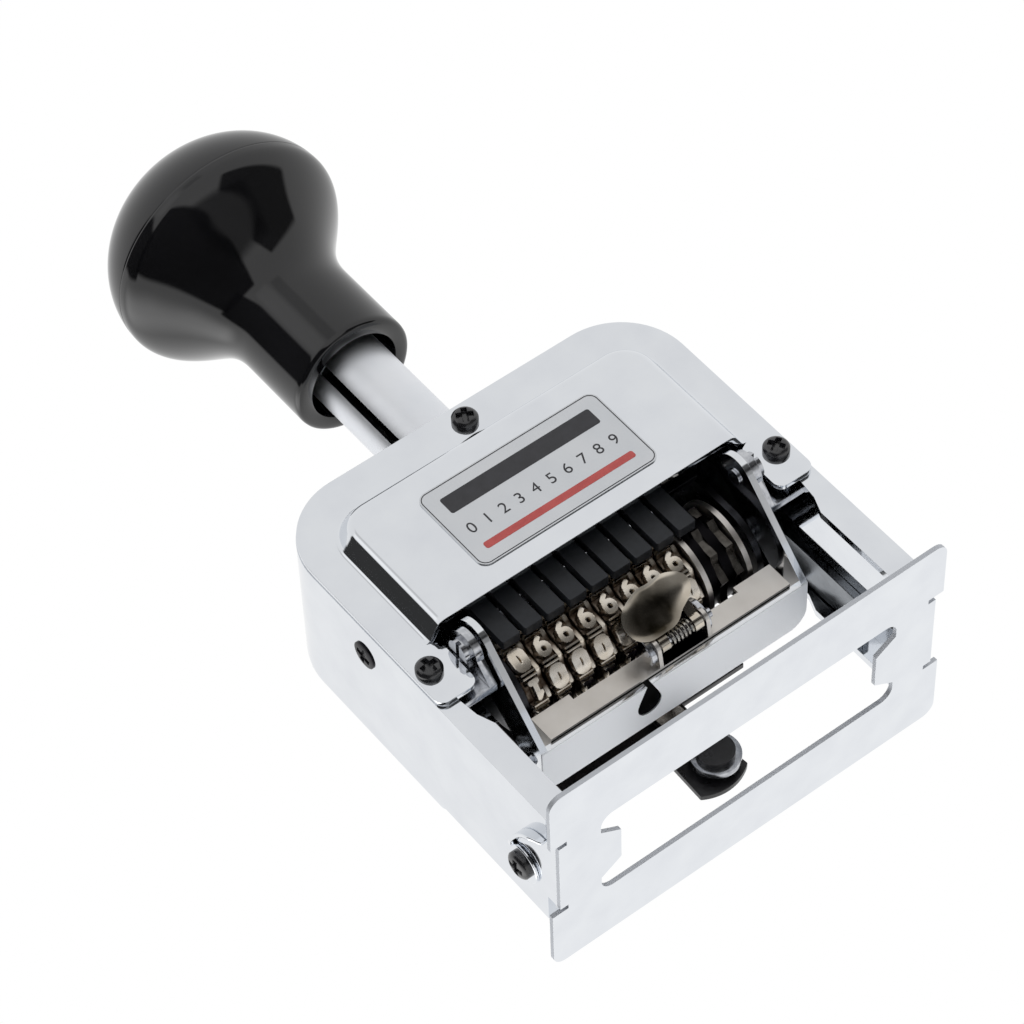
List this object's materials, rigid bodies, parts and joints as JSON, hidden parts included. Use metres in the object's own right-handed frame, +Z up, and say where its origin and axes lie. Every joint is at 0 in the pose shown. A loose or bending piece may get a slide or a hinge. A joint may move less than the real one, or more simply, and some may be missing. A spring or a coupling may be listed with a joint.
{
  "type": "numbering machine",
  "caption": "Hand-plunged automatic numbering machine: ball knob on a sprung shaft, sheet frame with a window base, figure wheels and a swinging ink pad.",
  "frame": {"origin": "middle of the printing window, on the plane of the base's underside", "axes": "+Z up along the shaft to the knob, -Y to the front cover with the label, +X to the right seen from the front"},
  "size_m": [0.0666, 0.0397, 0.133],
  "materials": {
    "chrome_sheet": "polished",
    "chrome_cover": "polished",
    "chrome_tube": "polished",
    "label": "satin foil",
    "black_screw": "black oxide",
    "steel_dark": "oiled dark steel",
    "spring_wire": "drawn wire",
    "bright_screw": "polished",
    "steel_rail": "satin",
    "black_plate": "matte black",
    "black_plastic": "matte",
    "knob_black": "gloss",
    "nickel_wheel": "nickel plated",
    "satin_steel": "satin",
    "felt": "inked felt",
    "nickel_spoon": "polished nickel"
  },
  "bodies": {
    "frame": {"main_frame": "chrome_sheet", "front_cover": "chrome_cover", "back_cover": "chrome_cover", "label_plate": "label", "cover_screws": "black_screw", "guide_bush": "steel_dark", "cross_key": "steel_dark", "return_spring": "spring_wire", "side_screws": "bright_screw", "base_side_screws": "black_screw", "hook_washers": "bright_screw", "guide_rails": "steel_rail", "pad_brackets": "steel_dark", "pad_pivot_screws": "bright_screw", "selector_plate": "black_plate", "selector_pivot": "bright_screw"},
    "selector": {"selector_lever": "steel_rail", "selector_tip": "black_plastic"},
    "plunger": {"shaft_tube": "chrome_tube", "ball_knob": "knob_black", "knob_plug": "steel_dark", "crosshead": "steel_dark", "side_plates": "steel_dark", "tie_bars": "steel_rail", "wheel_axle": "steel_rail", "comb_bar": "steel_dark", "detent_blocks": "black_plastic", "spacer_discs": "steel_dark", "drive_ratchets": "nickel_wheel"},
    "wheel_1": {"number_wheel_1": "nickel_wheel"},
    "wheel_2": {"number_wheel_2": "nickel_wheel"},
    "wheel_3": {"number_wheel_3": "nickel_wheel"},
    "wheel_4": {"number_wheel_4": "nickel_wheel"},
    "wheel_5": {"number_wheel_5": "nickel_wheel"},
    "wheel_6": {"number_wheel_6": "nickel_wheel"},
    "wheel_7": {"number_wheel_7": "nickel_wheel"},
    "wheel_8": {"number_wheel_8": "nickel_wheel"},
    "feed_arm": {"feed_plates": "steel_rail", "feed_pawl": "steel_dark"},
    "yoke": {"pad_yoke": "chrome_cover", "pad_holder": "satin_steel", "ink_pad": "felt", "yoke_rivets": "bright_screw", "latch_pin": "bright_screw", "latch_spring": "spring_wire"},
    "latch": {"spoon_latch": "nickel_spoon"}
  },
  "joints": [
    {"name": "plunge", "type": "slide", "parent": "frame", "child": "plunger", "axis": [0, 0, 1], "range_m": [-0.0205, 0], "stiffness_N_per_m": 450, "springref_m": 0.02, "deforming": ["return_spring"]},
    {"name": "yoke_swing", "type": "hinge", "parent": "frame", "child": "yoke", "pos_m": [0, -0.013, 0.0293], "axis": [1, 0, 0], "range_deg": [-130.1, 0]},
    {"name": "latch_tip", "type": "hinge", "parent": "yoke", "child": "latch", "pos_m": [0, -0.0062, 0.0179], "axis": [1, 0, 0], "range_deg": [0, 25], "stiffness_Nm_per_rad": 0.01, "springref_deg": -17.19},
    {"name": "feed_swing", "type": "hinge", "parent": "plunger", "child": "feed_arm", "pos_m": [0, -0.002, 0.0281], "axis": [1, 0, 0], "range_deg": [0, 36.1]},
    {"name": "selector_swing", "type": "hinge", "parent": "frame", "child": "selector", "pos_m": [0, 0.0134, 0.04], "axis": [0, 1, 0], "range_deg": [-7, 17]},
    {"name": "wheel_1_turn", "type": "hinge", "parent": "plunger", "child": "wheel_1", "pos_m": [0, -0.002, 0.0281], "axis": [1, 0, 0], "continuous": true},
    {"name": "wheel_2_turn", "type": "hinge", "parent": "plunger", "child": "wheel_2", "pos_m": [0, -0.002, 0.0281], "axis": [1, 0, 0], "continuous": true},
    {"name": "wheel_3_turn", "type": "hinge", "parent": "plunger", "child": "wheel_3", "pos_m": [0, -0.002, 0.0281], "axis": [1, 0, 0], "continuous": true},
    {"name": "wheel_4_turn", "type": "hinge", "parent": "plunger", "child": "wheel_4", "pos_m": [0, -0.002, 0.0281], "axis": [1, 0, 0], "continuous": true},
    {"name": "wheel_5_turn", "type": "hinge", "parent": "plunger", "child": "wheel_5", "pos_m": [0, -0.002, 0.0281], "axis": [1, 0, 0], "continuous": true},
    {"name": "wheel_6_turn", "type": "hinge", "parent": "plunger", "child": "wheel_6", "pos_m": [0, -0.002, 0.0281], "axis": [1, 0, 0], "continuous": true},
    {"name": "wheel_7_turn", "type": "hinge", "parent": "plunger", "child": "wheel_7", "pos_m": [0, -0.002, 0.0281], "axis": [1, 0, 0], "continuous": true},
    {"name": "wheel_8_turn", "type": "hinge", "parent": "plunger", "child": "wheel_8", "pos_m": [0, -0.002, 0.0281], "axis": [1, 0, 0], "continuous": true}
  ],
  "couplings": [
    {"joint": "yoke_swing", "follows": "plunge", "rad_per_m": 110.7},
    {"joint": "feed_swing", "follows": "plunge", "rad_per_m": -30.6}
  ]
}
